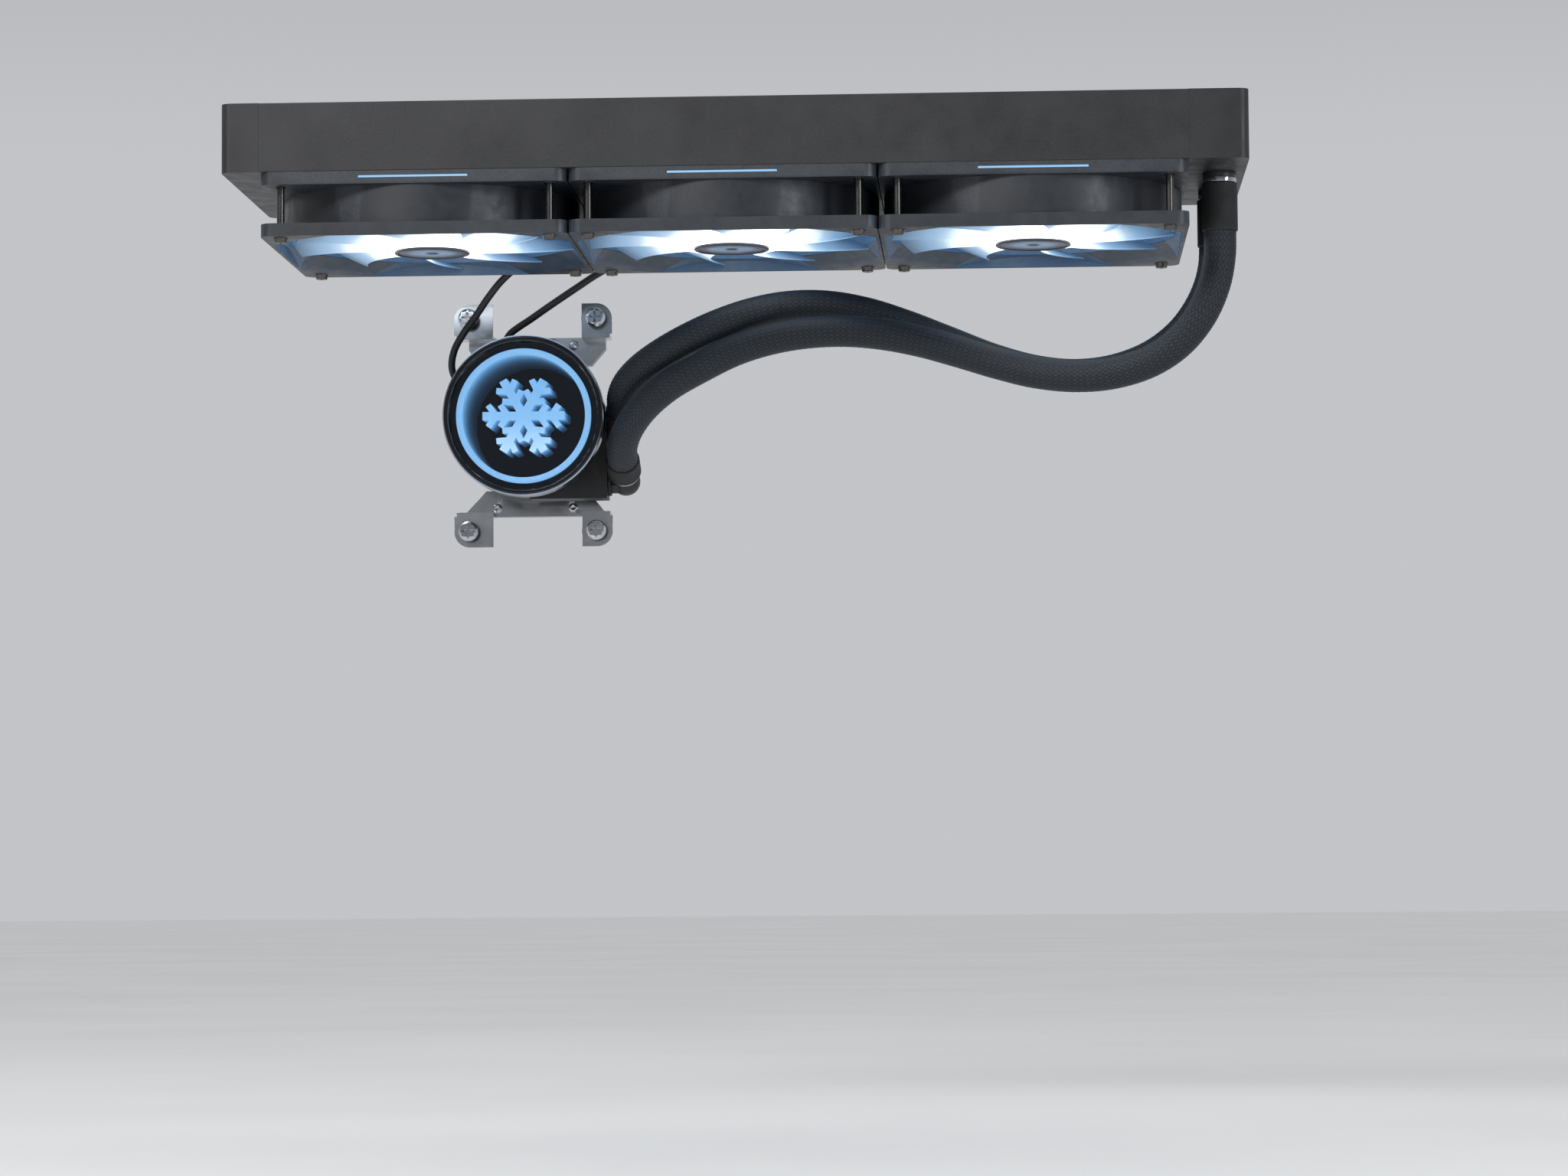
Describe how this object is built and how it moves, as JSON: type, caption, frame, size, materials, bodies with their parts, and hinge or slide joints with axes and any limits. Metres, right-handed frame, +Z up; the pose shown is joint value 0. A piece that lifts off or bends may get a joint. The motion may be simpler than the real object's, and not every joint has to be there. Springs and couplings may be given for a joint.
{
  "type": "liquid cooling radiator",
  "caption": "Closed-loop liquid cooler: long finned radiator with a row of lit fans below it, two braided hoses and a round pump with a lit ring cap and steel brackets.",
  "frame": {"origin": "centre of the radiator's top face, in the plane of the case screw holes", "axes": "+X along the radiator towards the hose end, +Y towards the processor socket, +Z up through the radiator's top face"},
  "size_m": [0.3994, 0.19, 0.161],
  "materials": {
    "black_core": "satin black paint",
    "black_paint": "satin black powder coat",
    "black_fitting": "satin black",
    "fan_frame_plastic": "satin black moulding",
    "frosted_blade": "frosted translucent moulding",
    "rotor_steel": "drawn steel",
    "copper_winding": "enamelled winding wire",
    "light_board": "white solder mask with lights",
    "bearing_bronze": "sintered bronze",
    "plated_screw": "nickel plated",
    "black_braid": "braided nylon sleeve",
    "bright_ferrule": "polished",
    "black_sleeve": "matte",
    "black_plastic": "fine moulded texture",
    "gloss_black": "gloss",
    "dark_glass": "gloss",
    "lit_diffuser": "milky diffuser",
    "half_mirror": "mirror",
    "circuit_board": "solder mask",
    "white_plastic": "moulded",
    "ceramic": "ground ceramic",
    "copper": "machined copper",
    "bracket_steel": "polished steel",
    "cable_jacket": "satin jacket"
  },
  "bodies": {
    "cooler": {"core_tubes": "black_core", "fin_packs": "black_core", "rail_front": "black_paint", "rail_rear": "black_paint", "port_tank": "black_paint", "return_tank": "black_paint", "fill_plug": "black_fitting", "port_necks": "black_fitting", "fan_1_frame": "fan_frame_plastic", "fan_1_stator": "copper_winding", "fan_1_led_board": "light_board", "fan_2_frame": "fan_frame_plastic", "fan_2_stator": "copper_winding", "fan_2_led_board": "light_board", "fan_3_frame": "fan_frame_plastic", "fan_3_stator": "copper_winding", "fan_3_led_board": "light_board", "fan_bearings": "bearing_bronze", "fan_screws": "plated_screw", "hose_front": "black_braid", "hose_rear": "black_braid", "hose_ferrules": "bright_ferrule", "hose_collars": "black_sleeve", "elbow_upper": "black_plastic", "elbow_lower": "black_plastic", "elbow_seals": "black_sleeve", "cap_bezel": "gloss_black", "cap_glass": "dark_glass", "glow_ring": "lit_diffuser", "rear_mirror": "half_mirror", "emblem": "lit_diffuser", "cap_led_board": "circuit_board", "pump_body": "black_plastic", "chamber_plate": "black_plastic", "impeller_shaft": "ceramic", "pump_stator": "copper_winding", "base_gasket": "black_sleeve", "cold_plate": "copper", "cold_plate_screws": "plated_screw", "bracket_top": "bracket_steel", "bracket_bottom": "bracket_steel", "bracket_screws": "plated_screw", "mount_screws": "plated_screw", "mount_springs": "plated_screw", "power_cable": "cable_jacket", "power_hank": "cable_jacket", "power_connector": "black_plastic", "light_cable": "cable_jacket", "light_hank": "cable_jacket", "light_connector": "white_plastic", "cable_grommets": "black_sleeve", "cable_ties": "cable_jacket"},
    "fan_1_rotor": {"fan_1_impeller": "frosted_blade", "fan_1_rotor_core": "rotor_steel"},
    "fan_2_rotor": {"fan_2_impeller": "frosted_blade", "fan_2_rotor_core": "rotor_steel"},
    "fan_3_rotor": {"fan_3_impeller": "frosted_blade", "fan_3_rotor_core": "rotor_steel"},
    "pump_rotor": {"pump_impeller": "white_plastic"}
  },
  "joints": [
    {"name": "fan_1_spin", "type": "hinge", "parent": "cooler", "child": "fan_1_rotor", "pos_m": [-0.12, 0, -0.04], "axis": [0, 0, 1], "continuous": true},
    {"name": "fan_2_spin", "type": "hinge", "parent": "cooler", "child": "fan_2_rotor", "pos_m": [0, 0, -0.04], "axis": [0, 0, 1], "continuous": true},
    {"name": "fan_3_spin", "type": "hinge", "parent": "cooler", "child": "fan_3_rotor", "pos_m": [0.12, 0, -0.04], "axis": [0, 0, 1], "continuous": true},
    {"name": "pump_spin", "type": "hinge", "parent": "cooler", "child": "pump_rotor", "pos_m": [-0.091, 0.089, -0.1095], "axis": [0, 1, 0], "continuous": true}
  ]
}
